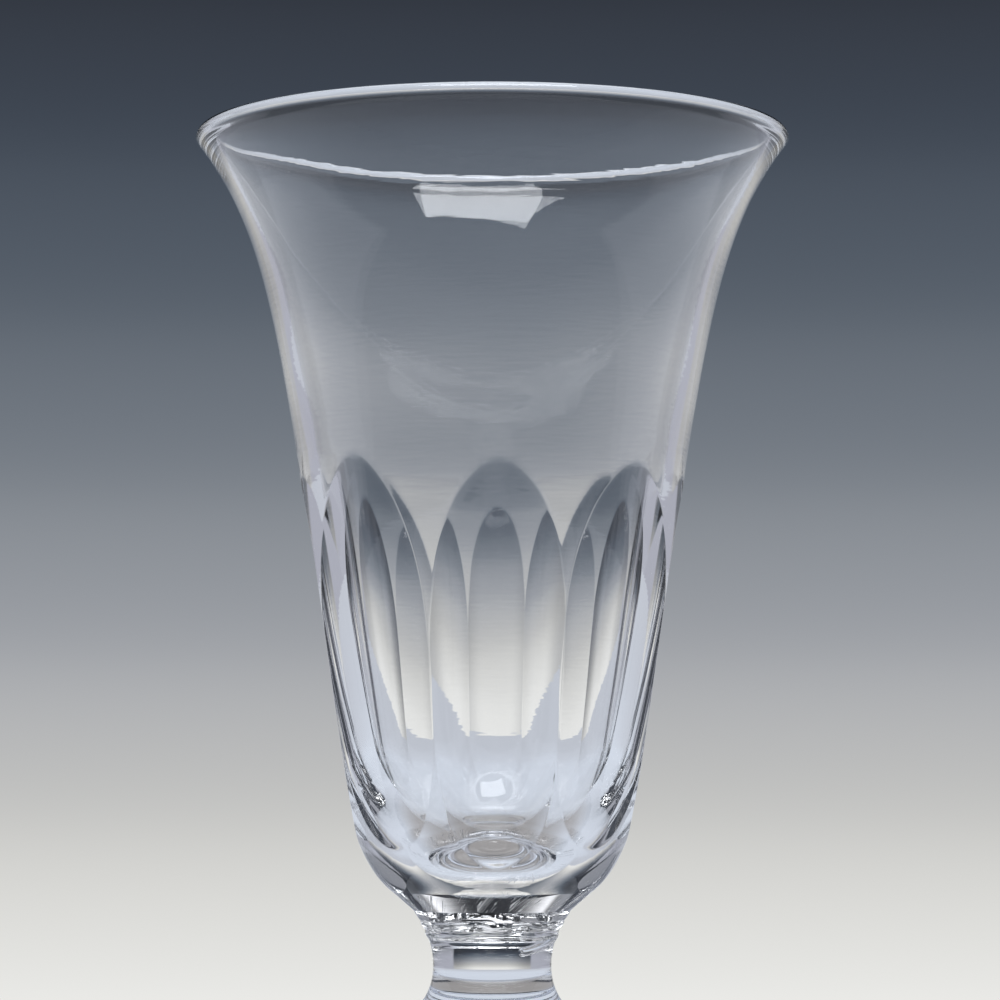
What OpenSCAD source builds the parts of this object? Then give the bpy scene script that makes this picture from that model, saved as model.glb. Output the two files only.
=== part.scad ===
// Jelly glass: a flared, petal-cut bowl carried on a tooled collar, a short
// waisted stem and a spreading foot. Each is a gather of glass of its own,
// joined to the next on a flat face. Millimetres, standing on z = 0, +Z up.

/* [Bowl] */
// Outer diameter of the bowl just under its rounded lip
rim_d = 64.9; // [58:0.1:70]
// Height of the bowl from its seat on the collar to the lip
bowl_h = 83.9; // [76:0.1:92]
// Outer diameter at the shoulder, where the wall starts to lean out
shoulder_d = 41.6; // [39:0.1:44]
// Height of the shoulder above the seat
shoulder_h = 45.3; // [43:0.1:50]
// Outward lean of the wall above the shoulder, sideways per millimetre of height
wall_lean = 0.176; // [0.14:0.001:0.2]
// Lean of the body just below the shoulder
skirt_lean = 0.0685; // [0.05:0.0005:0.09]
// Height over which the body turns from one lean to the other
shoulder_blend = 3; // [1:0.1:5]
// How late the mouth flares: a higher number keeps the flare nearer the lip
flare_power = 4.6; // [3:0.1:6]
// Height of the conical band between the seat and the edge round the bottom of the bowl
heel_h = 2; // [1.2:0.1:3]
// Thickness of the swelling lip
lip_wall = 2.1; // [1.8:0.05:2.6]

/* [Cavity] */
// Wall thickness at the shoulder, before the petals are cut
shoulder_wall = 2.3; // [1.8:0.05:3]
// How much the wall thins between the shoulder and the lip
wall_thinning = 0.5; // [0.2:0.02:0.7]
// Inward lean of the cavity wall just below the shoulder
cavity_lean = 0.127; // [0.11:0.001:0.14]
// How far the cavity wall tucks in beyond that lean, where its rounded bottom starts
cavity_tuck = 1.6; // [1:0.05:3]
// Thickness of the solid glass under the cavity
floor_t = 5.5; // [4:0.1:8]
// Height of the rounded bottom of the cavity
floor_round_h = 12; // [8:0.1:15]

/* [Petals] */
// Number of flat petals cut round the bowl
petal_count = 8; // [6:1:10]
// Height of the arched petal tops above the seat
petal_top_h = 47.3; // [45:0.1:50]
// Height of the lower petal tips above the seat
petal_tip_h = 7.8; // [6:0.1:10]
// Depth of a petal in the body, measured three quarters of the way up to its top
petal_depth = 1.24; // [0.8:0.02:1.4]
// How much deeper every second petal is cut
petal_extra = 0.45; // [0.1:0.01:0.5]

/* [Collar] */
// Diameter of the collar at the bowl's seat
seat_d = 17; // [15:0.1:18]
// Height of the collar
collar_h = 4.8; // [4:0.1:6]
// Number of soft rings tooled round the collar
collar_rings = 3; // [2:1:4]
// Swell of each ring
ring_swell = 0.2; // [0.05:0.01:0.3]
// Height of the plain band under the rings
collar_plain_h = 1.7; // [1.2:0.1:2.4]
// Thickness of the snipped-off tail of glass on the collar
tail_t = 0.9; // [0.6:0.1:1.2]
// Where the tail's tip lies, in degrees from the front towards the right
tail_from = 29; // [10:1:45]
// Where the tail runs into the collar, in degrees
tail_to = 82; // [60:1:100]

/* [Stem] */
// Height of the stem
stem_h = 7.4; // [7.1:0.1:10]
// Diameter of the stem at its waist
waist_d = 12.68; // [11:0.02:14]
// Height of the waist above the foot
waist_h = 6.1; // [5:0.1:6.8]
// Radius of the hollow curve between the waist and the collar
throat_r = 24; // [10:1:40]

/* [Foot] */
// Diameter of the foot
foot_d = 58; // [50:0.5:66]
// Height of the foot where the stem stands on it
foot_h = 7.5; // [6.5:0.1:9]
// Thickness of the rounded edge of the foot
foot_edge_t = 2.4; // [1.8:0.1:3]
// Slope of the foot beside the stem, in degrees from level
foot_slope = 16; // [12:1:20]
// Width of the flat ring that the foot rests on
rest_ring_w = 3; // [2:0.1:5]
// Rise of the hollow under the foot
hollow_h = 1.3; // [0.6:0.1:2]
// Diameter of the dish polished into the underside
pontil_d = 17; // [12:0.5:22]
// Depth of that dish
pontil_depth = 0.8; // [0.4:0.1:1.2]

/* [Hidden] */
glass = [0.86, 0.89, 0.91, 0.55];
$fn = 96;
steps = 24;
lip_steps = 8;
ring_steps = 8;
// The body's outline is a rounded bell: the two powers set how full it is, and
// the reach how far below the heel it would close
bell_power = 2.53;
bell_fullness = 0.209;
bell_reach = 1.037;

rim_r = rim_d / 2;
shoulder_r = shoulder_d / 2;
seat_r = seat_d / 2;
waist_r = waist_d / 2;
foot_r = foot_d / 2;

// Levels of the joints between the four pieces, and of the bowl's own features
stem_z = foot_h;
collar_z = stem_z + stem_h;
seat_z = collar_z + collar_h;
heel_z = seat_z + heel_h;
shoulder_z = seat_z + shoulder_h;
lip_z = seat_z + bowl_h;
floor_z = seat_z + floor_t;
floor_round_z = floor_z + floor_round_h;
petal_top_z = seat_z + petal_top_h;
petal_tip_z = seat_z + petal_tip_h;
// The faces are flat up to the run-out, then turn outwards to the arched tops
run_out_z = seat_z + petal_top_h * 0.75;

// Sizes where one piece meets the next
flare_r = waist_h / cos(foot_slope);
stem_foot_r = waist_r + flare_r * (1 - sin(foot_slope));
throat_h = stem_h - waist_h;
stem_top_r = waist_r + throat_r - sqrt(throat_r * throat_r - throat_h * throat_h);

e = exp(1);
mouth_h = lip_z - shoulder_z;

function span(a, b, n) = [for (i = [0:n]) a + (b - a) * i / n];

// Outer radius above the shoulder: one lean blending into another, plus the flare of the mouth
function lean_run(h) = h - shoulder_blend * (1 - pow(e, -h / shoulder_blend));
function leaning(h) = skirt_lean * h + (wall_lean - skirt_lean) * lean_run(h);
mouth_flare = rim_r - shoulder_r - leaning(mouth_h);
function mouth_r(h) = shoulder_r + leaning(h) + mouth_flare * pow(h / mouth_h, flare_power);

// Outer radius of the bowl at a height, before the petals are cut
bell_depth = bell_reach * (shoulder_z - heel_z);
function bell(d) = pow(1 - pow(d / bell_depth, bell_power), bell_fullness);
function body_r(z) =
    z >= shoulder_z
    ? mouth_r(z - shoulder_z)
    : let (d = shoulder_z - z) (shoulder_r - skirt_lean * d) * bell(d);
heel_r = body_r(heel_z);

// Inner radius of the bowl at a height
cavity_shoulder_r = shoulder_r - shoulder_wall;
cavity_lip_r = rim_r - lip_wall;
// The wall thins a third of the way up from the shoulder, and swells at the lip
lip_swell_h = 1.6;
function thinned(h) = wall_thinning / (1 + pow(e, 3.6 - 10 * h / mouth_h));
function plain_wall(h) = shoulder_wall - (cavity_lean - skirt_lean) * (h - lean_run(h)) - thinned(h);
function mouth_wall(h) =
    plain_wall(h) + (lip_wall - plain_wall(mouth_h)) * pow(e, (h - mouth_h) / lip_swell_h);
cavity_curve = cavity_tuck / pow(shoulder_z - floor_round_z, 2);
function floor_round(z) =
    z >= floor_round_z ? 1 : sqrt(max(0, 1 - pow((floor_round_z - z) / floor_round_h, 2)));
function cavity_wall_r(d) = cavity_shoulder_r - cavity_lean * d - cavity_curve * d * d;
function cavity_r(z) =
    z >= shoulder_z
    ? body_r(z) - mouth_wall(z - shoulder_z)
    : cavity_wall_r(shoulder_z - z) * floor_round(z);

// A half round from point a over to point b, on the left of the way from a to b
function half_round(a, b, n) =
    let (m = (a + b) / 2, u = a - m, v = [-u[1], u[0]])
    [for (i = [1:n - 1]) m + u * cos(180 * i / n) + v * sin(180 * i / n)];

// The bell's outline from its heel up to the lip
function outer_points() = concat(
    [[0, seat_z], [seat_r, seat_z], [heel_r, heel_z]],
    [for (i = [1:steps]) let (z = heel_z + (shoulder_z - heel_z) * pow(i / steps, 2)) [body_r(z), z]],
    [for (i = [1:steps]) let (z = shoulder_z + mouth_h * i / steps) [body_r(z), z]]
);

// The cavity's outline from the lip down to the middle of its floor
function inner_points() = concat(
    [for (i = [0:steps - 1]) let (z = lip_z - mouth_h * pow(i / steps, 1.5)) [cavity_r(z), z]],
    [for (i = [0:steps / 2 - 1])
        let (z = shoulder_z + (floor_round_z - shoulder_z) * 2 * i / steps) [cavity_r(z), z]],
    [for (i = [0:steps / 2])
        let (z = floor_z + floor_round_h * (1 - sin(180 * i / steps))) [cavity_r(z), z]]
);

module bowl_blank() {
    lip = half_round([rim_r, lip_z], [cavity_lip_r, lip_z], lip_steps);
    rotate_extrude()
        polygon(concat(outer_points(), lip, inner_points()));
}

// Each petal is a flat cut that leans with the body. It leaves the glass at the
// lower tip and turns out of it in an arch at the top, and neighbours meet in a ridge
petal_set_r = body_r(run_out_z) - petal_depth;
petal_lean = (petal_set_r - body_r(petal_tip_z)) / (run_out_z - petal_tip_z);
function face_line(z, extra) = petal_set_r - extra + petal_lean * (z - run_out_z);
function face_r(z, extra) =
    let (t = max(0, z - run_out_z) / (petal_top_z - run_out_z))
    face_line(z, extra) + (body_r(petal_top_z) - face_line(petal_top_z, extra)) * t * t;
// How far the cutter runs on past the top and the tip, clear of the glass
cut_over = 3;

module petal_cut(extra) {
    low_z = petal_tip_z - cut_over;
    high_z = petal_top_z + cut_over;
    rotate([90, 0, 0])
        linear_extrude(height = shoulder_d, center = true)
            polygon(concat(
                [[shoulder_d, low_z], [shoulder_d, high_z]],
                [for (z = span(high_z, run_out_z, ring_steps)) [face_r(z, extra), z]],
                [[face_r(low_z, extra), low_z]]
            ));
}

module bowl() {
    color(glass)
        difference() {
            bowl_blank();
            for (i = [0:petal_count - 1])
                rotate([0, 0, i * 360 / petal_count - 90])
                    petal_cut(i % 2 * petal_extra);
        }
}

// The collar widens from the stem to the bowl's seat: plain at first, then in soft tooled rings
rings_z = collar_z + collar_plain_h;
function collar_r(z) =
    let (t = (z - collar_z) / collar_h, up = (z - rings_z) / (seat_z - rings_z))
    stem_top_r + (seat_r - stem_top_r) * t * t + ring_swell * abs(sin(180 * collar_rings * up));
tail_r = tail_t / 2;
tail_turn_r = stem_top_r + tail_r / 2;
// The tail ends in a round tip that swells a little
tip_r = tail_r * 1.15;

module tail() {
    translate([0, 0, collar_z + collar_plain_h / 3]) {
        rotate([0, 0, tail_from - 90])
            rotate_extrude(angle = tail_to - tail_from)
                translate([tail_turn_r, 0])
                    circle(tail_r);
        rotate([0, 0, tail_from - 90])
            translate([tail_turn_r, 0, 0])
                sphere(tip_r);
    }
}

module collar() {
    n = collar_rings * ring_steps;
    color(glass)
        union() {
            rotate_extrude()
                polygon(concat(
                    [[0, collar_z], [stem_top_r, collar_z]],
                    [for (z = span(rings_z, seat_z, n)) [collar_r(z), z]],
                    [[0, seat_z]]
                ));
            tail();
        }
}

// The stem is a capstan: it flares down to the foot and a little up to the collar
module stem() {
    color(glass)
        rotate_extrude()
            polygon(concat(
                [[0, stem_z]],
                [for (a = span(90 - foot_slope, 0, steps))
                    [waist_r + flare_r * (1 - cos(a)), stem_z + waist_h - flare_r * sin(a)]],
                [for (a = span(0, asin(throat_h / throat_r), ring_steps))
                    if (a > 0) [waist_r + throat_r * (1 - cos(a)), stem_z + waist_h + throat_r * sin(a)]],
                [[0, collar_z]]
            ));
}

// The foot spreads from the stem to a rounded edge and stands on a flat ring,
// hollowed inside it, with a polished dish in the middle of the underside
edge_r = foot_edge_t / 2;
ring_out_r = foot_r - edge_r;
ring_in_r = ring_out_r - rest_ring_w;
pontil_r = pontil_d / 2;
function hollow_z(r) = hollow_h * (1 - pow(r / ring_in_r, 2));
function dish_z(r) = hollow_z(pontil_r) + pontil_depth * (1 - pow(r / pontil_r, 2));

// The top of the foot starts at the stem's slope and eases off towards the edge
foot_run = ring_out_r - stem_foot_r;
foot_drop = foot_h - foot_edge_t;
foot_ease = foot_run * tan(foot_slope) / foot_drop;
function foot_top_z(r) =
    let (t = (r - stem_foot_r) / foot_run)
    foot_edge_t + foot_drop * pow(1 - t, foot_ease);

module foot() {
    color(glass)
        rotate_extrude()
            polygon(concat(
                [for (r = span(0, pontil_r, ring_steps)) [r, dish_z(r)]],
                [for (r = span(pontil_r, ring_in_r, steps)) if (r > pontil_r) [r, hollow_z(r)]],
                [[ring_out_r, 0]],
                half_round([ring_out_r, 0], [ring_out_r, foot_edge_t], lip_steps),
                [for (r = span(ring_out_r, stem_foot_r, steps)) [r, foot_top_z(r)]],
                [[0, foot_h]]
            ));
}

bowl();
collar();
stem();
foot();
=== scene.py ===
"""Looks of the jelly glass: bowl, collar, stem and foot in clear hand-made glass.

Sizes of the glass are named in millimetres, and become metres where a mesh is made.
Sizes of the stage round it are in metres. Angles are in degrees, with the front of the glass at -Y.
"""
import math

import bmesh
import bpy
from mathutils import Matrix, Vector, noise


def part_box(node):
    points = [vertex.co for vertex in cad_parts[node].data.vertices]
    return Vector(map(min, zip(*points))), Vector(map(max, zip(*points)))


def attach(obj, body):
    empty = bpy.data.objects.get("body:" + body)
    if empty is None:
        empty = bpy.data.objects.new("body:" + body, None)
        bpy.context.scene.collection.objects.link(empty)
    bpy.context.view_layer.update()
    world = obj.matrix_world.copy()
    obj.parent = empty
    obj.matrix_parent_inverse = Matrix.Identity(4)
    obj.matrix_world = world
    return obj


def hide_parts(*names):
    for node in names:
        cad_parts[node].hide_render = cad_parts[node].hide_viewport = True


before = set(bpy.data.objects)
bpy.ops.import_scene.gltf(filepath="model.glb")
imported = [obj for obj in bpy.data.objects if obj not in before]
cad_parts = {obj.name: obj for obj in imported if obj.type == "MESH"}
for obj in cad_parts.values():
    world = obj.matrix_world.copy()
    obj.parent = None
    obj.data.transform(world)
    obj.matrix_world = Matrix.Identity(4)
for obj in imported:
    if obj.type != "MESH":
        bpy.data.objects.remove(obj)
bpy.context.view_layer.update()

MM = 0.001

# Levels and radii that the frame gives
bowl_low, bowl_high = (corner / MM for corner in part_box("bowl"))
stem_low, stem_high = (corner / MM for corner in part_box("stem"))
foot_low, foot_high = (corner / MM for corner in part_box("foot"))
SEAT_Z = bowl_low.z
COLLAR_Z = stem_high.z
STEM_Z = stem_low.z
RIM_R = bowl_high.x
STEM_FOOT_R = stem_high.x
FOOT_R = foot_high.x

# Outside of the bowl: a bell below the shoulder, a flare above it
LIP_WALL = 2.1
LIP_SWELL_H = 1.6
LIP_Z = bowl_high.z - LIP_WALL / 2
SHOULDER_R = 20.8
SHOULDER_Z = SEAT_Z + 45.3
SHOULDER_BLEND = 3
WALL_LEAN = 0.176
SKIRT_LEAN = 0.0765
FLARE_POWER = 4.6
HEEL_Z = SEAT_Z + 2.0
SEAT_R = 8.5
BELL_DEPTH = 44.9
BELL_POWER = 2.6
BELL_FULLNESS = 0.2
BODY_WAVE = {"size": 14, "swell": 0.012, "seed": 3}

# Cavity of the bowl
SHOULDER_WALL = 2.3
THINNING = 0.5
THINNING_AT = 0.36
THINNING_STEEPNESS = 10
CAVITY_LEAN = 0.112
CAVITY_CURVE = 0.0023
FLOOR_Z = SEAT_Z + 6.0
FLOOR_ROUND_H = 12
FLOOR_FLATNESS = 3
CAVITY_WAVE = {"size": 11, "swell": 0.05, "seed": 8}

# Petals cut in the bowl, counted from the front: hand cutting makes each a little different
PETAL_COUNT = 8
PETAL_TOP_Z = SEAT_Z + 47.3
PETAL_TIP_Z = SEAT_Z + 6.7
PETAL_TURNS = (2.1, 1.5, 0.5, 0.4, -1.0, -1.0, 0.5, 0.7)
PETAL_LIFTS = (0.0, 0.1, -0.5, 0.0, -0.9, 0.0, -0.5, 1.0)
PETAL_LEANS = (0.145, 0.14, 0.145, 0.136, 0.152, 0.136, 0.145, 0.14)
PETAL_BENDS = (0.0045, 0.0012, 0.0012, 0.0012, 0.0012, 0.0012, 0.0012, 0.0012)
BEND_Z = SEAT_Z + 20
RUN_OUT_HEIGHTS = (36.5, 32.5, 36, 33, 36.5, 33, 36, 32)
PETAL_R = 18.8
PETAL_R_Z = SEAT_Z + 35.5
DEEP_CUT = 0.3
CUT_OVER = 2
EDGE_SOFTNESS = 0.05
RIDGE_SOFTNESS = (0.35, 0.08, 0.1, 0.08, 0.08, 0.1, 0.08, 0.15)
WEAR_RISE = 2.2
WEAR_FALL = 3.6

# Collar with its snipped tail
COLLAR_RINGS = 3
RING_SWELLS = (0.16, 0.12, 0.08)
RING_SWAY = 0.08
RING_CREASE = 0.2
RINGS_Z = COLLAR_Z + 1.7
TAIL_R = 0.45
TAIL_FROM, TAIL_TO = 29, 82
TAIL_START_Z = COLLAR_Z + 0.57
TAIL_RISE = 1.7
TAIL_CURL = 1.3
TAIL_TIP_SHARE = 0.05
TAIL_STAND_OFF = TAIL_R * 0.7

# Stem and foot
WAIST_R = 6.42
WAIST_Z = STEM_Z + 6.1
THROAT_R = 12
FOOT_SLOPE = math.radians(16)
FOOT_EDGE_T = 2.4
REST_RING_W = 3
HOLLOW_H = 1.3
PONTIL_R = 8.5
PONTIL_DEPTH = 0.8

MOUTH_H = LIP_Z - SHOULDER_Z
CAVITY_SHOULDER_R = SHOULDER_R - SHOULDER_WALL
CAVITY_LIP_R = RIM_R - LIP_WALL
FLOOR_ROUND_Z = FLOOR_Z + FLOOR_ROUND_H


# Shapes of the glass


def smooth_step(t):
    t = min(1.0, max(0.0, t))
    return t * t * (3 - 2 * t)


def soft_min(a, b, k):
    """The smaller of two radii, rounded over where they are within k of each other."""
    h = max(k - abs(a - b), 0.0) / k
    return min(a, b) - h * h * k / 4


def lean_run(h):
    """How much of a height above the shoulder leans out, once the shoulder has blended in."""
    return h - SHOULDER_BLEND * (1 - math.exp(-h / SHOULDER_BLEND))


def wall_lean_at(h):
    return SKIRT_LEAN * h + (WALL_LEAN - SKIRT_LEAN) * lean_run(h)


def body_r(z):
    """Outer radius of the bowl before the petals are cut."""
    if z >= SHOULDER_Z:
        h = z - SHOULDER_Z
        flare = RIM_R - SHOULDER_R - wall_lean_at(MOUTH_H)
        return SHOULDER_R + wall_lean_at(h) + flare * (h / MOUTH_H) ** FLARE_POWER
    d = SHOULDER_Z - z
    return (SHOULDER_R - SKIRT_LEAN * d) * (1 - (d / BELL_DEPTH) ** BELL_POWER) ** BELL_FULLNESS


def mouth_wall(h):
    """Wall thickness above the shoulder: it thins about a third of the way up, and swells at the lip."""
    def plain(at):
        bend = (CAVITY_LEAN - SKIRT_LEAN) * (at - lean_run(at))
        thinner = THINNING / (1 + math.exp(THINNING_STEEPNESS * (THINNING_AT - at / MOUTH_H)))
        return SHOULDER_WALL - bend - thinner

    return plain(h) + (LIP_WALL - plain(MOUTH_H)) * math.exp((h - MOUTH_H) / LIP_SWELL_H)


def cavity_r(z):
    """Inner radius of the bowl."""
    if z >= SHOULDER_Z:
        return body_r(z) - mouth_wall(z - SHOULDER_Z)
    d = SHOULDER_Z - z
    wall = CAVITY_SHOULDER_R - CAVITY_LEAN * d - CAVITY_CURVE * d * d
    if z >= FLOOR_ROUND_Z:
        return wall
    return wall * max(0.0, 1 - ((FLOOR_ROUND_Z - z) / FLOOR_ROUND_H) ** 2) ** (1 / FLOOR_FLATNESS)


def petal_middle(i):
    """Angle of a petal's middle."""
    return i * 360 / PETAL_COUNT + PETAL_TURNS[i % PETAL_COUNT] - 90


def petal_face_r(z, i):
    """Distance of a petal's face from the axis at a height, at the petal's middle."""
    def line(at):
        lean = PETAL_LEANS[i % PETAL_COUNT]
        bend = PETAL_BENDS[i % PETAL_COUNT] * max(0.0, BEND_Z - at) ** 2
        return PETAL_R - (DEEP_CUT if i % 2 else 0.0) + lean * (at - PETAL_R_Z) - bend

    top = PETAL_TOP_Z + PETAL_LIFTS[i % PETAL_COUNT]
    rise = body_r(top) - line(top)
    start = SEAT_Z + RUN_OUT_HEIGHTS[i % PETAL_COUNT]
    return line(z) + rise * (max(0.0, z - start) / (top - start)) ** 2


def cut_r(z, turn, petal, neighbour, uncut):
    """Radius of the cut bowl at an angle, between a petal's middle and its neighbour's."""
    if z > PETAL_TOP_Z + CUT_OVER or z < PETAL_TIP_Z - CUT_OVER:
        return uncut
    own, next_one = (
        petal_face_r(z, i) / math.cos(math.radians(turn - petal_middle(i))) for i in (petal, neighbour)
    )
    if next_one < 0:
        next_one = own
    worn = RIDGE_SOFTNESS[min(petal, neighbour) if abs(petal - neighbour) == 1 else PETAL_COUNT - 1]
    along = (z - PETAL_TIP_Z) / (PETAL_TOP_Z - PETAL_TIP_Z)
    wear = smooth_step(WEAR_RISE * along) * smooth_step(WEAR_RISE - WEAR_FALL * along)
    ridge = EDGE_SOFTNESS + (worn - EDGE_SOFTNESS) * wear
    return soft_min(uncut, soft_min(own, next_one, ridge), EDGE_SOFTNESS)


def wavy(r, turn, z, size, swell, seed):
    """A radius with the slow unevenness of hand-worked glass: size and swell are in millimetres."""
    a = math.radians(turn)
    point = Vector((r * math.cos(a), r * math.sin(a), z))
    return r + swell * noise.noise(point / size + Vector((seed, seed * 1.7, -seed)))


# Mesh making


def level_steps(a, b, n, power=1.0):
    """Heights from a to b, without b, crowded towards a where power is over 1."""
    return [a + (b - a) * (i / n) ** power for i in range(n)]


def even_turns(n):
    return [360 * i / n for i in range(n)]


def ring_of(radius_at, z, turns):
    """Points round the axis at one height, where radius_at gives the radius at an angle."""
    points = []
    for turn in turns:
        a = math.radians(turn)
        r = radius_at(turn)
        points.append((r * math.cos(a), r * math.sin(a), z))
    return points


def sharpen(ring):
    """Keep the edge along one ring of vertices crisp."""
    members = set(ring)
    for edge in {e for v in ring for e in v.link_edges if set(e.verts) <= members}:
        edge.smooth = False


def rings_to_mesh(name, rings, joint_rings=(), crisp_rings=()):
    """One closed piece from rings of points in millimetres, with one point at each end.

    An end named in joint_rings, first or last, is a fused joint, and takes the second material.
    The rings numbered in crisp_rings are edges that the shading does not round over.
    """
    bm = bmesh.new()
    rows = [[bm.verts.new(Vector(p) * MM) for p in ring] for ring in rings]
    for low, high in zip(rows, rows[1:]):
        for j in range(max(len(low), len(high))):
            k = (j + 1) % max(len(low), len(high))
            if len(low) == 1:
                bm.faces.new((low[0], high[k], high[j]))
            elif len(high) == 1:
                bm.faces.new((low[j], low[k], high[0]))
            else:
                bm.faces.new((low[j], low[k], high[k], high[j]))
    for face in bm.faces:
        face.smooth = True
    for end in joint_rings:
        hub, ring = (rows[0][0], rows[1]) if end == "first" else (rows[-1][0], rows[-2])
        for face in hub.link_faces:
            face.material_index = 1
            face.smooth = False
        sharpen(ring)
    for i in crisp_rings:
        sharpen(rows[i])
    bmesh.ops.recalc_face_normals(bm, faces=bm.faces)
    mesh = bpy.data.meshes.new(name)
    bm.to_mesh(mesh)
    bm.free()
    piece = bpy.data.objects.new(name, mesh)
    bpy.context.collection.objects.link(piece)
    return piece


# Bowl

CUT_COLUMNS, EDGE_COLUMNS, LAND_COLUMNS = 7, 6, 7
HALF_COLUMNS = CUT_COLUMNS + EDGE_COLUMNS + LAND_COLUMNS
EDGE_HALF_TURN = 0.4
EASE_H = 6
TIPS_END_Z = PETAL_TIP_Z + 9
ARCHES_START_Z = PETAL_TOP_Z - 12
ARCHES_END_Z = PETAL_TOP_Z + CUT_OVER
HEEL_ROWS, TIP_ROWS, FACE_ROWS, ARCH_ROWS, MOUTH_ROWS = 6, 70, 26, 56, 40
LIP_ROWS, INNER_MOUTH_ROWS, INNER_WALL_ROWS, FLOOR_ROWS = 16, 40, 30, 24


def half_petal(border, ridge, evened):
    """Offsets from a petal's middle to its ridge, crowded round the border of the cut."""
    margin = EDGE_HALF_TURN * 1.5
    b = min(max(border, margin), ridge - margin)
    stops = [0, b - EDGE_HALF_TURN, b + EDGE_HALF_TURN, ridge]
    counts = [CUT_COLUMNS, EDGE_COLUMNS, LAND_COLUMNS]
    offsets = []
    for start, end, n in zip(stops, stops[1:], counts):
        offsets += [start + (end - start) * i / n for i in range(n)]
    return [o + (ridge * i / HALF_COLUMNS - o) * evened for i, o in enumerate(offsets)] + [ridge]


def ridge_turn(z, i, k):
    """Angle between a petal's middle and where its face meets its neighbour's."""
    spread = math.radians(abs(petal_middle(k) - petal_middle(i)))
    own, other = petal_face_r(z, i), petal_face_r(z, k)
    return math.degrees(math.atan2(other / own - math.cos(spread), math.sin(spread)))


def petal_columns(z):
    """For one height, each column's angle with the numbers of its petal and of the next petal."""
    uncut = body_r(z)
    in_cut = PETAL_TIP_Z - CUT_OVER < z < PETAL_TOP_Z + CUT_OVER
    evened = smooth_step(max(z - PETAL_TOP_Z, 2 * (PETAL_TIP_Z - z)) / EASE_H)
    columns = []
    for i in range(PETAL_COUNT):
        middle = petal_middle(i)
        face = petal_face_r(z, i)
        border = math.degrees(math.acos(min(1.0, face / uncut))) if in_cut else 0.0
        left = half_petal(border, ridge_turn(z, i, i - 1), evened)
        right = half_petal(border, ridge_turn(z, i, i + 1), evened)
        columns += [(middle - o, i, (i - 1) % PETAL_COUNT) for o in reversed(left[1:])]
        columns += [(middle + o, i, (i + 1) % PETAL_COUNT) for o in right[:-1]]
    return columns


def outer_ring(z):
    points = []
    for turn, petal, neighbour in petal_columns(z):
        uncut = wavy(body_r(z), turn, z, **BODY_WAVE)
        r = cut_r(z, turn, petal, neighbour, uncut)
        a = math.radians(turn)
        points.append((r * math.cos(a), r * math.sin(a), z))
    return points


def make_bowl():
    turns = [column[0] for column in petal_columns(LIP_Z)]
    heel_r = body_r(HEEL_Z)
    rings = [[(0, 0, SEAT_Z)]]
    for t in level_steps(0, 1, HEEL_ROWS):
        z = SEAT_Z + (HEEL_Z - SEAT_Z) * t
        rings.append(ring_of(lambda turn: SEAT_R + (heel_r - SEAT_R) * t, z, turns))
    heel_ring = len(rings)
    outer = level_steps(HEEL_Z, TIPS_END_Z, TIP_ROWS, 1.4)
    outer += level_steps(TIPS_END_Z, ARCHES_START_Z, FACE_ROWS)
    outer += level_steps(ARCHES_START_Z, ARCHES_END_Z, ARCH_ROWS)
    outer += level_steps(ARCHES_END_Z, LIP_Z, MOUTH_ROWS)
    rings += [outer_ring(z) for z in outer]
    middle_r = (RIM_R + CAVITY_LIP_R) / 2
    for i in range(LIP_ROWS + 1):
        a = math.pi * i / LIP_ROWS
        z = LIP_Z + LIP_WALL / 2 * math.sin(a)
        rings.append(ring_of(lambda turn: middle_r + LIP_WALL / 2 * math.cos(a), z, turns))
    inner = level_steps(LIP_Z, SHOULDER_Z, INNER_MOUTH_ROWS, 1.3)[1:]
    inner += level_steps(SHOULDER_Z, FLOOR_ROUND_Z, INNER_WALL_ROWS)
    for i in range(FLOOR_ROWS):
        inner.append(FLOOR_Z + FLOOR_ROUND_H * (1 - math.sin(math.pi / 2 * i / FLOOR_ROWS)))
    for z in inner:
        rings.append(ring_of(lambda turn: wavy(cavity_r(z), turn, z, **CAVITY_WAVE), z, turns))
    rings.append([(0, 0, FLOOR_Z)])
    return rings_to_mesh("bowl_glass", rings, joint_rings=("first",), crisp_rings=(heel_ring,))


# Collar

COLLAR_ROWS, COLLAR_COLUMNS = 76, 360


def stem_top_r():
    return WAIST_R + THROAT_R - math.sqrt(THROAT_R**2 - (COLLAR_Z - WAIST_Z) ** 2)


def round_noise(turn, spread, level):
    """Noise that closes up round the glass, busier where spread is larger."""
    a = math.radians(turn)
    return noise.noise(Vector((spread * math.cos(a), spread * math.sin(a), level)))


def collar_r(z, turn):
    """Radius of the collar: plain at its foot, then tooled rings that wander a little."""
    t = (z - COLLAR_Z) / (SEAT_Z - COLLAR_Z)
    low_r = stem_top_r()
    lean = (COLLAR_Z - WAIST_Z) / THROAT_R
    plain = low_r + lean * (z - COLLAR_Z) + (SEAT_R - low_r - lean * (SEAT_Z - COLLAR_Z)) * t**2
    up = (z - RINGS_Z) / (SEAT_Z - RINGS_Z)
    if up <= 0:
        return plain
    sway = RING_SWAY * round_noise(turn, 2.2, 3 * up)
    wander = up + sway * up * (1 - up) * 4
    swell = RING_SWELLS[min(COLLAR_RINGS - 1, int(wander * COLLAR_RINGS))]
    ring = abs(math.sin(math.pi * COLLAR_RINGS * wander)) * swell
    crease = RING_CREASE * round_noise(turn, 5, 6 * up + 4)
    return plain + ring * (1 + crease)


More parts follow.
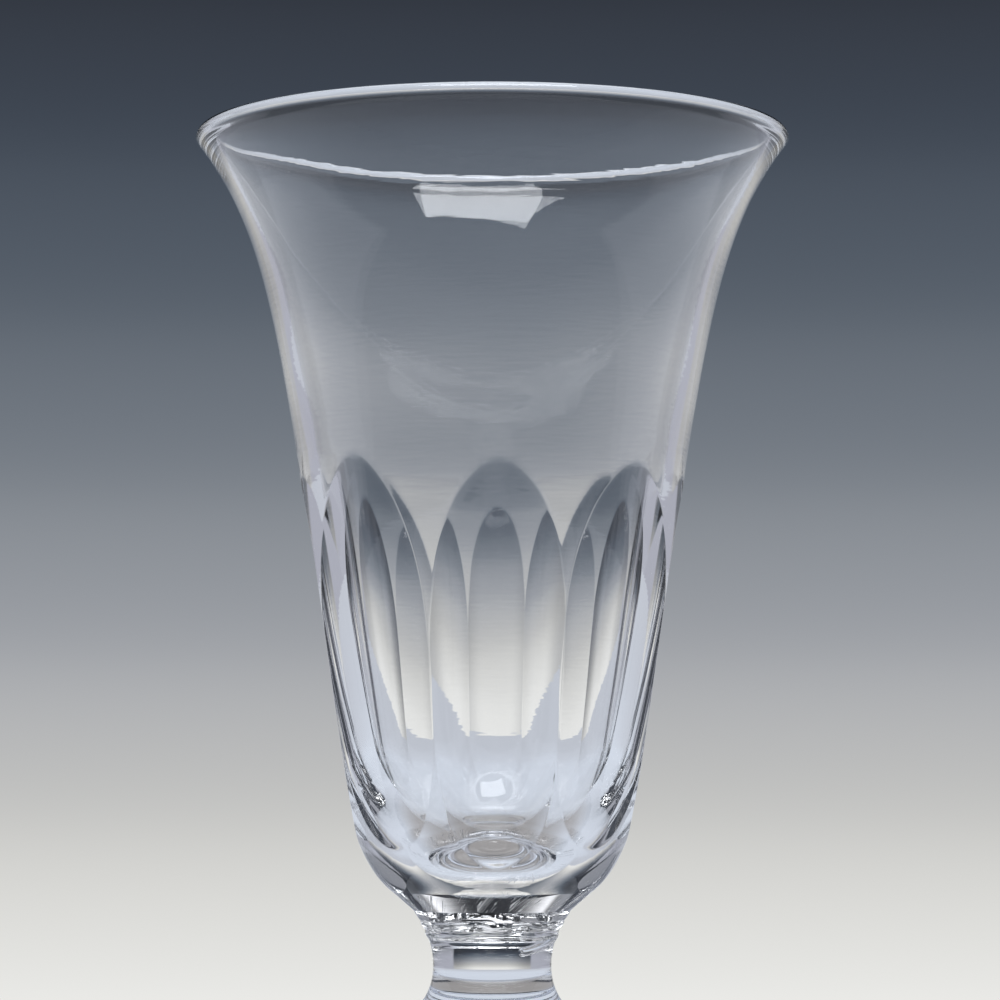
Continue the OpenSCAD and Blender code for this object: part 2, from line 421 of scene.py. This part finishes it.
def tail_r(z, turn):
    """Radius of the snipped tail that lies along the collar's side, or 0 away from it."""
    along = (turn + 90 - TAIL_FROM) / (TAIL_TO - TAIL_FROM)
    if not -TAIL_TIP_SHARE < along < 1:
        return 0.0
    height = TAIL_START_Z + TAIL_RISE * max(0.0, along) ** TAIL_CURL
    thick = TAIL_R * math.sqrt(max(0.0, 1 - (max(0.0, -along) / TAIL_TIP_SHARE) ** 2))
    inside = thick**2 - (z - height) ** 2
    return stem_top_r() + TAIL_STAND_OFF + math.sqrt(inside) if inside > 0 else 0.0


def make_collar():
    turns = [turn - 180 for turn in even_turns(COLLAR_COLUMNS)]
    rings = [[(0, 0, COLLAR_Z)]]
    for i in range(COLLAR_ROWS + 1):
        z = COLLAR_Z + (SEAT_Z - COLLAR_Z) * i / COLLAR_ROWS
        rings.append(ring_of(lambda turn: max(collar_r(z, turn), tail_r(z, turn)), z, turns))
    rings.append([(0, 0, SEAT_Z)])
    return rings_to_mesh("collar_glass", rings, joint_rings=("first", "last"))


# Stem and foot

TURNED_COLUMNS = 192
FLARE_ROWS, THROAT_ROWS = 48, 16
DISH_ROWS, HOLLOW_ROWS, REST_ROWS, EDGE_ROWS, SLOPE_ROWS = 20, 30, 6, 24, 48


def turned(name, profile, joint_rings):
    """A piece turned round the axis from its half outline."""
    turns = even_turns(TURNED_COLUMNS)
    rings = []
    for r, z in profile:
        rings.append([(0, 0, z)] if r == 0 else ring_of(lambda turn: r, z, turns))
    return rings_to_mesh(name, rings, joint_rings)


def stem_profile():
    """Half outline of the stem: an arc out to the foot below the waist, and one to the collar above."""
    flare_r = (WAIST_Z - STEM_Z) / math.cos(FOOT_SLOPE)
    points = [(0, STEM_Z)]
    for i in range(FLARE_ROWS + 1):
        a = (math.pi / 2 - FOOT_SLOPE) * (1 - i / FLARE_ROWS)
        points.append((WAIST_R + flare_r * (1 - math.cos(a)), WAIST_Z - flare_r * math.sin(a)))
    top = math.asin((COLLAR_Z - WAIST_Z) / THROAT_R)
    for i in range(1, THROAT_ROWS + 1):
        a = top * i / THROAT_ROWS
        points.append((WAIST_R + THROAT_R * (1 - math.cos(a)), WAIST_Z + THROAT_R * math.sin(a)))
    return points + [(0, COLLAR_Z)]


def foot_profile():
    """Half outline of the foot, from the middle of the underside round to the stem's joint."""
    edge_r = FOOT_EDGE_T / 2
    ring_out = FOOT_R - edge_r
    ring_in = ring_out - REST_RING_W

    def hollow_z(r):
        return HOLLOW_H * (1 - (r / ring_in) ** 2)

    def dish_z(r):
        return hollow_z(PONTIL_R) + PONTIL_DEPTH * (1 - (r / PONTIL_R) ** 2)

    dish = [PONTIL_R * i / DISH_ROWS for i in range(DISH_ROWS + 1)]
    points = [(r, dish_z(r)) for r in dish]
    points += [(r, hollow_z(r)) for r in level_steps(PONTIL_R, ring_in, HOLLOW_ROWS)[1:]]
    points += [(r, 0) for r in level_steps(ring_in, ring_out, REST_ROWS)]
    for i in range(EDGE_ROWS + 1):
        a = math.pi * i / EDGE_ROWS
        points.append((ring_out + edge_r * math.sin(a), edge_r * (1 - math.cos(a))))
    run = ring_out - STEM_FOOT_R
    drop = STEM_Z - FOOT_EDGE_T
    ease = run * math.tan(FOOT_SLOPE) / drop
    for i in range(1, SLOPE_ROWS + 1):
        t = 1 - i / SLOPE_ROWS
        points.append((STEM_FOOT_R + run * t, FOOT_EDGE_T + drop * (1 - t) ** ease))
    return points + [(0, STEM_Z)]


def make_stem():
    return turned("stem_glass", stem_profile(), ("first", "last"))


def make_foot():
    return turned("foot_glass", foot_profile(), ("last",))


# Shader nodes that several materials need


def feed(tree, socket, item):
    """Link a socket into another, or set a plain value or colour on it."""
    if isinstance(item, bpy.types.NodeSocket):
        tree.links.new(item, socket)
    elif isinstance(item, tuple):
        socket.default_value = (*item, 1)
    else:
        socket.default_value = item


def math_of(tree, operation, *inputs):
    node = tree.nodes.new("ShaderNodeMath")
    node.operation = operation
    for socket, item in zip(node.inputs, inputs):
        feed(tree, socket, item)
    return node.outputs["Value"]


def rise(tree, value, start, end):
    """0 below start, 1 above end and smooth between."""
    node = tree.nodes.new("ShaderNodeMapRange")
    node.interpolation_type = "SMOOTHSTEP"
    node.inputs["From Min"].default_value = start
    node.inputs["From Max"].default_value = end
    tree.links.new(value, node.inputs["Value"])
    return node.outputs["Result"]


def mix(tree, factor, first, second, blend="MIX"):
    node = tree.nodes.new("ShaderNodeMix")
    node.data_type = "RGBA"
    node.blend_type = blend
    tree.links.new(factor, node.inputs["Factor"])
    feed(tree, node.inputs["A"], first)
    feed(tree, node.inputs["B"], second)
    return node.outputs["Result"]


# Glass

GLASS_IOR = 1.54
GLASS_TINT = (0.995, 0.996, 0.997)
STREAK_SCALE = 260.0
STREAK_SQUASH = 9
SMEAR_FROM, SMEAR_TO = 0.52, 0.8
SCRATCH_ROUGHNESS = 0.7
SCRATCH_SPREAD = 10.0
SCRATCH_SLANT = -900.0
SCRATCH_BEND = 40.0
SCRATCH_SCALE = 3.0
SCRATCH_WIDTH = 0.017
PATCH_SCALE = 0.35
PATCH_LEVEL = 0.46


def glass_surface_group():
    """Hand-worked glass: a height for its faint ripples and streaks, and a roughness for its smears."""
    group = bpy.data.node_groups.new("hand_worked_glass", "ShaderNodeTree")
    for name, value in (("Ripple Scale", 90.0), ("Smear Scale", 160.0), ("Smear", 0.02), ("Streak", 0.0)):
        socket = group.interface.new_socket(name, in_out="INPUT", socket_type="NodeSocketFloat")
        socket.default_value = value
    for name in ("Height", "Roughness"):
        group.interface.new_socket(name, in_out="OUTPUT", socket_type="NodeSocketFloat")
    nodes, links = group.nodes, group.links
    inputs = nodes.new("NodeGroupInput")
    outputs = nodes.new("NodeGroupOutput")
    place = nodes.new("ShaderNodeTexCoord")

    swell = nodes.new("ShaderNodeTexNoise")
    swell.inputs["Detail"].default_value = 2.0
    links.new(place.outputs["Object"], swell.inputs["Vector"])
    links.new(inputs.outputs["Ripple Scale"], swell.inputs["Scale"])

    level = nodes.new("ShaderNodeVectorMath")
    level.operation = "MULTIPLY"
    level.inputs[1].default_value = (1, 1, STREAK_SQUASH)
    links.new(place.outputs["Object"], level.inputs[0])
    streak = nodes.new("ShaderNodeTexNoise")
    streak.inputs["Scale"].default_value = STREAK_SCALE
    streak.inputs["Detail"].default_value = 1.0
    links.new(level.outputs["Vector"], streak.inputs["Vector"])
    added = math_of(group, "MULTIPLY", streak.outputs["Fac"], inputs.outputs["Streak"])
    links.new(math_of(group, "ADD", added, swell.outputs["Fac"]), outputs.inputs["Height"])

    smear = nodes.new("ShaderNodeTexNoise")
    smear.inputs["Detail"].default_value = 4.0
    links.new(place.outputs["Object"], smear.inputs["Vector"])
    links.new(inputs.outputs["Smear Scale"], smear.inputs["Scale"])
    patch = nodes.new("ShaderNodeMapRange")
    patch.inputs["From Min"].default_value = SMEAR_FROM
    patch.inputs["From Max"].default_value = SMEAR_TO
    links.new(smear.outputs["Fac"], patch.inputs["Value"])
    links.new(inputs.outputs["Smear"], patch.inputs["To Max"])
    links.new(patch.outputs["Result"], outputs.inputs["Roughness"])
    return group


def scratch_group():
    """Fine slanting scratches, in patches, on the band between the seat and the heel: 1 on a scratch."""
    group = bpy.data.node_groups.new("scratched_band", "ShaderNodeTree")
    group.interface.new_socket("Scratch", in_out="OUTPUT", socket_type="NodeSocketFloat")
    nodes, links = group.nodes, group.links
    outputs = nodes.new("NodeGroupOutput")
    place = nodes.new("ShaderNodeTexCoord")
    split = nodes.new("ShaderNodeSeparateXYZ")
    links.new(place.outputs["Object"], split.inputs["Vector"])
    level = split.outputs["Z"]

    def value(operation, *inputs):
        return math_of(group, operation, *inputs)

    def speckle(x, y, scale):
        spot = nodes.new("ShaderNodeCombineXYZ")
        links.new(x, spot.inputs["X"])
        links.new(y, spot.inputs["Y"])
        node = nodes.new("ShaderNodeTexNoise")
        node.inputs["Scale"].default_value = scale
        node.inputs["Detail"].default_value = 1.0
        links.new(spot.outputs["Vector"], node.inputs["Vector"])
        return node.outputs["Fac"]

    turn = value("ARCTAN2", split.outputs["X"], value("MULTIPLY", split.outputs["Y"], -1.0))
    along = value("MULTIPLY_ADD", turn, SCRATCH_SPREAD, value("MULTIPLY", level, SCRATCH_SLANT))
    lines = speckle(along, value("MULTIPLY", level, SCRATCH_BEND), SCRATCH_SCALE)
    on_line = value("LESS_THAN", value("ABSOLUTE", value("SUBTRACT", lines, 0.5)), SCRATCH_WIDTH)
    patches = speckle(value("MULTIPLY", turn, SCRATCH_SPREAD), turn, PATCH_SCALE)
    in_patch = value("GREATER_THAN", patches, PATCH_LEVEL)
    over = value("GREATER_THAN", level, (SEAT_Z + 0.1) * MM)
    under = value("LESS_THAN", level, (HEEL_Z - 0.2) * MM)
    scratch = value("MULTIPLY", value("MULTIPLY", on_line, in_patch), value("MULTIPLY", over, under))
    links.new(scratch, outputs.inputs["Scratch"])
    return group


def clear_glass(name, surface, ripple_depth, ripple_scale, smear, streak=0.0, scratches=None):
    """Clear glass of one piece: ripple_depth is in millimetres."""
    material = bpy.data.materials.new(name)
    material.use_nodes = True
    tree = material.node_tree
    shader = tree.nodes["Principled BSDF"]
    shader.inputs["Base Color"].default_value = (*GLASS_TINT, 1)
    shader.inputs["Transmission Weight"].default_value = 1.0
    shader.inputs["IOR"].default_value = GLASS_IOR
    worked = tree.nodes.new("ShaderNodeGroup")
    worked.node_tree = surface
    worked.inputs["Ripple Scale"].default_value = ripple_scale
    worked.inputs["Smear"].default_value = smear
    worked.inputs["Streak"].default_value = streak
    bump = tree.nodes.new("ShaderNodeBump")
    bump.inputs["Strength"].default_value = 1.0
    bump.inputs["Distance"].default_value = ripple_depth * MM
    tree.links.new(worked.outputs["Height"], bump.inputs["Height"])
    tree.links.new(bump.outputs["Normal"], shader.inputs["Normal"])
    roughness = worked.outputs["Roughness"]
    if scratches:
        scratched = tree.nodes.new("ShaderNodeGroup")
        scratched.node_tree = scratches
        scratch = scratched.outputs["Scratch"]
        roughness = math_of(tree, "MULTIPLY_ADD", scratch, SCRATCH_ROUGHNESS, roughness)
    tree.links.new(roughness, shader.inputs["Roughness"])
    return material


def fused_joint():
    """The face where two gathers were fused hot: nothing of it can be seen."""
    material = bpy.data.materials.new("fused_joint")
    material.use_nodes = True
    shader = material.node_tree.nodes["Principled BSDF"]
    shader.inputs["Alpha"].default_value = 0.0
    return material


# Stage: a lift is an angle above the horizon, and a turn is one from straight behind the glass

BACKDROP = (
    (-6.0, (0.9, 0.9, 0.88)),
    (-3.5, (0.815, 0.815, 0.792)),
    (-1.0, (0.592, 0.592, 0.578)),
    (1.5, (0.378, 0.39, 0.412)),
    (4.0, (0.219, 0.24, 0.27)),
    (6.5, (0.118, 0.139, 0.169)),
    (9.0, (0.0625, 0.0775, 0.102)),
    (11.5, (0.033, 0.0395, 0.053)),
    (20.0, (0.015, 0.018, 0.024)),
)
BACKDROP_ENDS = (0.55, 0.55, 0.56)
BACKDROP_END_W = 20
SIDE_LIGHT = (0.4, 0.41, 0.475)
SIDE_LIGHT_ABOVE = (0.27, 0.28, 0.31)
SIDE_LIFTS = (4, 26)
SIDE_TOP = (49, 52)
SIDE_FROM, SIDE_TO = 29, 76
SIDE_SLANT = 0.7
CEILING = (1.2, 1.22, 1.28)
CEILING_LIFTS = (38, 44)
CEILING_TURNS = (24, 32)
ROOM_LIGHT = (0.02, 0.026, 0.038)
TABLE = (0.545, 0.575, 0.64)
TABLE_GLOW = (0.66, 0.715, 0.81)
TABLE_NEAR, TABLE_EDGE = -28, -4.85
TABLE_EDGE_W = 0.15
FLOOR_COLOUR = (0.70, 0.74, 0.84)
# Painted shade: the floor's glow is darker under the foot, where the glass casts its shadow
PAINTED_FOOT_SHADE = (0.34, 0.33, 0.33)
PAINTED_FOOT_SHADE_REACH = (0.012, 0.028)
STAGE_R = 0.16
STAGE_FADE = (0.07, 0.15)
LAMP_TURN, LAMP_LIFT, LAMP_DISTANCE = 167, 80, 0.8
LAMP_WIDTH, LAMP_HEIGHT = 0.46, 0.32
LAMP_RADIANCE = 5.0
LAMP_COLOUR = (0.93, 0.96, 1.0)
LAMP_AIM = Vector((0, 0, 0.06))
EYE = (0.00084, -0.414, 0.0357)
EYE_TILT = 3.94
LENS, SENSOR = 137, 36


def set_backdrop():
    """A backdrop that darkens upwards, with a pale table below and soft light from both sides.

    The camera sees only the backdrop. The glass sees the table, the side light and the ceiling too.
    """
    world = bpy.data.worlds.new("graded_backdrop")
    bpy.context.scene.world = world
    world.use_nodes = True
    tree = world.node_tree
    nodes, links = tree.nodes, tree.links

    def past(value, start, end):
        return rise(tree, value, math.radians(start), math.radians(end))

    def short_of(value, start, end):
        return math_of(tree, "SUBTRACT", 1.0, past(value, start, end))

    def both(first, second):
        return math_of(tree, "MULTIPLY", first, second)

    place = nodes.new("ShaderNodeTexCoord")
    split = nodes.new("ShaderNodeSeparateXYZ")
    links.new(place.outputs["Generated"], split.inputs["Vector"])
    lift = math_of(tree, "ARCSINE", split.outputs["Z"])
    turn = math_of(tree, "ABSOLUTE", math_of(tree, "ARCTAN2", split.outputs["X"], split.outputs["Y"]))

    low, high = math.radians(BACKDROP[0][0]), math.radians(BACKDROP[-1][0])
    spread = nodes.new("ShaderNodeMapRange")
    spread.inputs["From Min"].default_value = low
    spread.inputs["From Max"].default_value = high
    links.new(lift, spread.inputs["Value"])
    ramp = nodes.new("ShaderNodeValToRGB")
    ramp.color_ramp.interpolation = "CARDINAL"
    stops = ramp.color_ramp.elements
    while len(stops) < len(BACKDROP):
        stops.new(0.5)
    for stop, (elevation, colour) in zip(stops, BACKDROP):
        stop.position = (math.radians(elevation) - low) / (high - low)
        stop.color = (*colour, 1)
    links.new(spread.outputs["Result"], ramp.inputs["Fac"])
    backdrop = ramp.outputs["Color"]

    near_end = past(turn, SIDE_FROM - BACKDROP_END_W, SIDE_FROM)
    seen = mix(tree, near_end, backdrop, BACKDROP_ENDS, "MULTIPLY")
    side = mix(tree, past(lift, *SIDE_LIFTS), SIDE_LIGHT, SIDE_LIGHT_ABOVE)
    on_side = both(past(turn, SIDE_FROM, SIDE_FROM + 3), short_of(lift, *SIDE_TOP))
    seen = mix(tree, on_side, seen, side)
    on_ceiling = both(past(lift, *CEILING_LIFTS), short_of(turn, *CEILING_TURNS))
    seen = mix(tree, on_ceiling, seen, CEILING)
    slant = math_of(tree, "SUBTRACT", turn, math_of(tree, "MULTIPLY", lift, SIDE_SLANT))
    seen = mix(tree, past(slant, SIDE_TO - 1, SIDE_TO), seen, ROOM_LIGHT)
    table = mix(tree, past(lift, TABLE_NEAR, TABLE_EDGE), TABLE_GLOW, TABLE)
    seen = mix(tree, past(lift, TABLE_EDGE - TABLE_EDGE_W, TABLE_EDGE), table, seen)
    path = nodes.new("ShaderNodeLightPath")
    shown = mix(tree, path.outputs["Is Camera Ray"], seen, backdrop)
    links.new(shown, nodes["Background"].inputs["Color"])


def floor_material():
    """A pale floor that fades out at its edge. Through the glass it glows like the table, with painted
    shade in that glow under the foot, darkest in the middle.
    """
    material = bpy.data.materials.new("pale_floor")
    material.use_nodes = True
    tree = material.node_tree
    nodes, links = tree.nodes, tree.links
    place = nodes.new("ShaderNodeTexCoord")
    reach = nodes.new("ShaderNodeVectorMath")
    reach.operation = "LENGTH"
    links.new(place.outputs["Object"], reach.inputs[0])
    fade = math_of(tree, "SUBTRACT", 1.0, rise(tree, reach.outputs["Value"], *STAGE_FADE))

    def mix_shaders(factor, first, second):
        node = nodes.new("ShaderNodeMixShader")
        links.new(factor, node.inputs["Fac"])
        links.new(first, node.inputs[1])
        links.new(second, node.inputs[2])
        return node.outputs["Shader"]

    plain = nodes["Principled BSDF"]
    plain.inputs["Base Color"].default_value = (*FLOOR_COLOUR, 1)
    plain.inputs["Roughness"].default_value = 0.9
    plain.inputs["Specular IOR Level"].default_value = 0.0
    links.new(fade, plain.inputs["Alpha"])
    glow = nodes.new("ShaderNodeEmission")
    # Painted shade under the foot: the glow darkens towards the middle of the floor
    out_of_painted_shade = rise(tree, reach.outputs["Value"], *PAINTED_FOOT_SHADE_REACH)
    links.new(mix(tree, out_of_painted_shade, PAINTED_FOOT_SHADE, TABLE_GLOW), glow.inputs["Color"])
    clear = nodes.new("ShaderNodeBsdfTransparent")
    faded_glow = mix_shaders(fade, clear.outputs["BSDF"], glow.outputs["Emission"])
    path = nodes.new("ShaderNodeLightPath")
    shown = mix_shaders(path.outputs["Is Transmission Ray"], plain.outputs["BSDF"], faded_glow)
    links.new(shown, nodes["Material Output"].inputs["Surface"])
    return material


def make_floor():
    mesh = bpy.data.meshes.new("floor")
    bm = bmesh.new()
    bmesh.ops.create_circle(bm, cap_ends=True, radius=STAGE_R, segments=128)
    bm.to_mesh(mesh)
    bm.free()
    floor = bpy.data.objects.new("floor", mesh)
    bpy.context.collection.objects.link(floor)
    floor.data.materials.append(floor_material())


def set_lamp():
    """A soft panel above the glass, a little to the front, that the camera sees only in the glass."""
    lamp = bpy.data.lights.new("top_panel", "AREA")
    lamp.shape = "RECTANGLE"
    lamp.size = LAMP_WIDTH
    lamp.size_y = LAMP_HEIGHT
    lamp.energy = LAMP_RADIANCE * math.pi * LAMP_WIDTH * LAMP_HEIGHT
    lamp.color = LAMP_COLOUR
    panel = bpy.data.objects.new("top_panel", lamp)
    a, e = math.radians(LAMP_TURN), math.radians(LAMP_LIFT)
    way = Vector((math.sin(a) * math.cos(e), math.cos(a) * math.cos(e), math.sin(e)))
    panel.location = LAMP_AIM + way * LAMP_DISTANCE
    panel.rotation_euler = way.to_track_quat("Z", "Y").to_euler()
    panel.visible_camera = False
    bpy.context.collection.objects.link(panel)


def set_camera():
    """The photograph's view: from the height of the lower bowl, looking a little upwards."""
    camera = bpy.data.cameras.new("camera")
    camera.lens = LENS
    camera.sensor_width = SENSOR
    camera.clip_start = 0.01
    eye = bpy.data.objects.new("camera", camera)
    eye.location = EYE
    eye.rotation_euler = (math.radians(90 + EYE_TILT), 0, 0)
    bpy.context.collection.objects.link(eye)
    bpy.context.scene.camera = eye


def dress(piece, node, slot, *materials):
    for material in materials:
        piece.data.materials.append(material)
    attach(piece, "root")
    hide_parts(node)


set_camera()
surface = glass_surface_group()
joint = fused_joint()
bowl_clear = clear_glass("bowl_clear", surface, 0.004, 90, 0.02, 0.45, scratch_group())
collar_clear = clear_glass("collar_clear", surface, 0.008, 300, 0.03)
stem_clear = clear_glass("stem_clear", surface, 0.006, 120, 0.02)
foot_clear = clear_glass("foot_clear", surface, 0.006, 90, 0.04)
dress(make_bowl(), "bowl", "bowl_glass", bowl_clear, joint)
dress(make_collar(), "collar", "collar_glass", collar_clear, joint)
dress(make_stem(), "stem", "stem_glass", stem_clear, joint)
dress(make_foot(), "foot", "foot_glass", foot_clear, joint)
make_floor()
set_backdrop()
set_lamp()

scene = bpy.context.scene
scene.view_settings.view_transform = "Standard"
scene.cycles.max_bounces = 32
scene.cycles.transmission_bounces = 32
scene.cycles.glossy_bounces = 16
scene.cycles.transparent_max_bounces = 48
